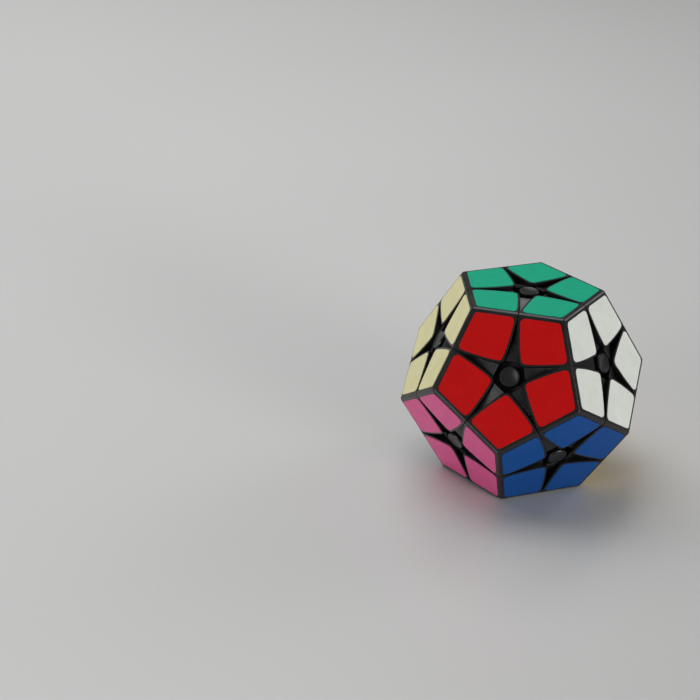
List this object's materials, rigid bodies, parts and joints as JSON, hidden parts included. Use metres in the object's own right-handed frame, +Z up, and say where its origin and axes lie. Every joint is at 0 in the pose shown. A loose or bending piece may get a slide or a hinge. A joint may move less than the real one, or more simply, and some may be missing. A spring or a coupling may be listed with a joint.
{
  "type": "dodecahedron twisty puzzle",
  "caption": "Twelve-sided twisty puzzle with kite-shaped coloured stickers, black corner blocks on a hidden screw-and-spring core, and faces that turn about their axes.",
  "frame": {"origin": "centre of the core, where all face axes meet", "axes": "+Z up, out of the green top face; the puzzle stands on its lime face; the red face looks towards -Y and upwards"},
  "size_m": [0.0832, 0.0876, 0.0716],
  "materials": {
    "corner_plastic": "satin black moulded plastic",
    "edge_plastic": "satin black moulded plastic",
    "hub_plastic": "matt black moulded plastic",
    "cap_plastic": "black plastic with a polished bevel",
    "core_plastic": "natural moulded plastic",
    "screw_steel": "zinc-plated steel",
    "spring_steel": "bright drawn wire",
    "washer_steel": "stamped steel",
    "sticker_green": "thin vinyl film with a satin face",
    "sticker_red": "thin vinyl film with a satin face",
    "sticker_white": "thin vinyl film with a satin face",
    "sticker_purple": "thin vinyl film with a satin face",
    "sticker_skyblue": "thin vinyl film with a satin face",
    "sticker_cream": "thin vinyl film with a satin face",
    "sticker_blue": "thin vinyl film with a satin face",
    "sticker_yellow": "thin vinyl film with a satin face",
    "sticker_orange": "thin vinyl film with a satin face",
    "sticker_grey": "thin vinyl film with a satin face",
    "sticker_pink": "thin vinyl film with a satin face",
    "sticker_lime": "thin vinyl film with a satin face"
  },
  "bodies": {
    "core_frame": {"core": "core_plastic", "screws": "screw_steel", "springs": "spring_steel", "washers": "washer_steel", "hubs_fixed": "hub_plastic", "caps_fixed": "cap_plastic", "edges_fixed": "edge_plastic", "corners_fixed": "corner_plastic", "stickers_blue_fixed": "sticker_blue", "stickers_cream_fixed": "sticker_cream", "stickers_green_fixed": "sticker_green", "stickers_grey_fixed": "sticker_grey", "stickers_orange_fixed": "sticker_orange", "stickers_pink_fixed": "sticker_pink", "stickers_skyblue_fixed": "sticker_skyblue", "stickers_white_fixed": "sticker_white", "stickers_yellow_fixed": "sticker_yellow"},
    "front_layer": {"hubs_front": "hub_plastic", "caps_front": "cap_plastic", "edges_front": "edge_plastic", "corner_front_1": "corner_plastic", "corner_front_2": "corner_plastic", "corner_front_3": "corner_plastic", "corner_front_4": "corner_plastic", "corner_front_5": "corner_plastic", "stickers_blue_front": "sticker_blue", "stickers_cream_front": "sticker_cream", "stickers_green_front": "sticker_green", "stickers_pink_front": "sticker_pink", "stickers_red_front": "sticker_red", "stickers_white_front": "sticker_white"},
    "back_layer": {"hubs_back": "hub_plastic", "caps_back": "cap_plastic", "edges_back": "edge_plastic", "corner_back_1": "corner_plastic", "corner_back_2": "corner_plastic", "corner_back_3": "corner_plastic", "corner_back_4": "corner_plastic", "corner_back_5": "corner_plastic", "stickers_green_back": "sticker_green", "stickers_orange_back": "sticker_orange", "stickers_purple_back": "sticker_purple", "stickers_skyblue_back": "sticker_skyblue", "stickers_white_back": "sticker_white", "stickers_yellow_back": "sticker_yellow"},
    "base_layer": {"hubs_base": "hub_plastic", "caps_base": "cap_plastic", "edges_base": "edge_plastic", "corner_base_1": "corner_plastic", "corner_base_2": "corner_plastic", "corner_base_3": "corner_plastic", "corner_base_4": "corner_plastic", "corner_base_5": "corner_plastic", "stickers_blue_base": "sticker_blue", "stickers_grey_base": "sticker_grey", "stickers_lime_base": "sticker_lime", "stickers_orange_base": "sticker_orange", "stickers_pink_base": "sticker_pink", "stickers_yellow_base": "sticker_yellow"}
  },
  "joints": [
    {"name": "front_turn", "type": "hinge", "parent": "core_frame", "child": "front_layer", "pos_m": [0, 0, 0], "axis": [0, -0.8944, 0.4472], "continuous": true},
    {"name": "back_turn", "type": "hinge", "parent": "core_frame", "child": "back_layer", "pos_m": [0, 0, 0], "axis": [0.5257, 0.7236, 0.4472], "continuous": true},
    {"name": "base_turn", "type": "hinge", "parent": "core_frame", "child": "base_layer", "pos_m": [0, 0, 0], "axis": [0, 0, -1], "continuous": true}
  ]
}
